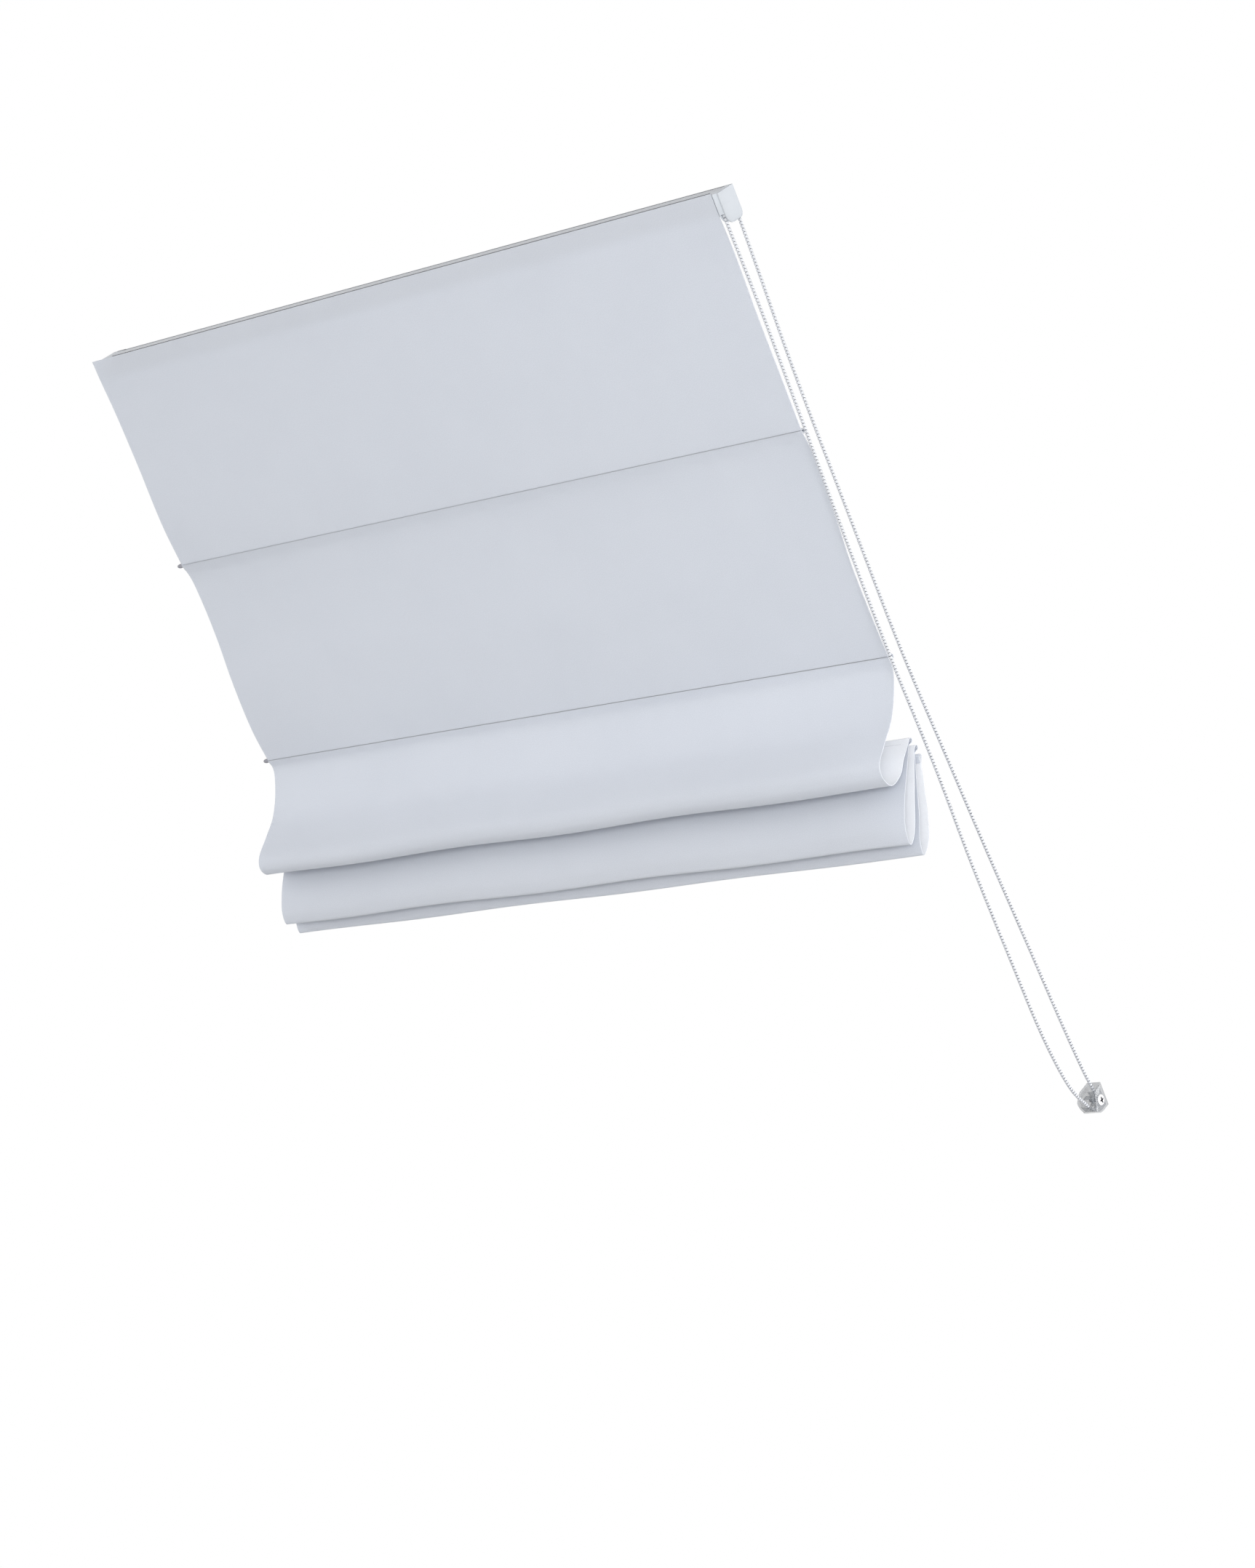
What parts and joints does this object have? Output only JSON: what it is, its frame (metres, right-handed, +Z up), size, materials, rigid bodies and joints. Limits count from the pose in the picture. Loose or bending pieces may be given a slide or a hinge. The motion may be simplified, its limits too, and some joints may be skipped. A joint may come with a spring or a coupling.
{
  "type": "roof window roman blind with headrail",
  "caption": "Roman blind for a roof window: white cloth hung in folds from a slim headrail, rods in sewn casings, bead chain drive and a clear chain tidy.",
  "frame": {"origin": "middle of the headrail's back face, where it is screwed to the sloping ceiling", "axes": "+X along the headrail toward the chain, +Y horizontally toward the window, +Z up; the blind hangs down a slope that leans 35 degrees from the plumb line"},
  "size_m": [1.164, 0.7804, 1.0843],
  "materials": {
    "white_cloth": "fine plain weave, matte",
    "rail_aluminium": "satin, powder coated",
    "grey_hook_tape": "hook-and-loop tape",
    "white_plastic": "soft gloss",
    "rod_fibreglass": "smooth",
    "grey_plastic": "satin",
    "chain_plastic": "translucent, glossy",
    "clear_plastic": "clear, glossy",
    "screw_white": "gloss paint"
  },
  "bodies": {
    "root": {"cloth": "white_cloth", "headrail": "rail_aluminium", "hook_strip": "grey_hook_tape", "end_cap_left": "white_plastic", "drive_housing": "white_plastic", "drive_cover": "white_plastic", "rod_1": "rod_fibreglass", "rod_2": "rod_fibreglass", "rod_3": "rod_fibreglass", "rod_4": "rod_fibreglass", "rod_5": "rod_fibreglass", "rod_cap_1": "grey_plastic", "rod_cap_2": "grey_plastic", "rod_cap_3": "grey_plastic", "rod_cap_4": "grey_plastic", "rod_cap_5": "grey_plastic", "bead_chain": "chain_plastic", "chain_tidy": "clear_plastic", "tidy_screw": "screw_white"}
  },
  "joints": []
}
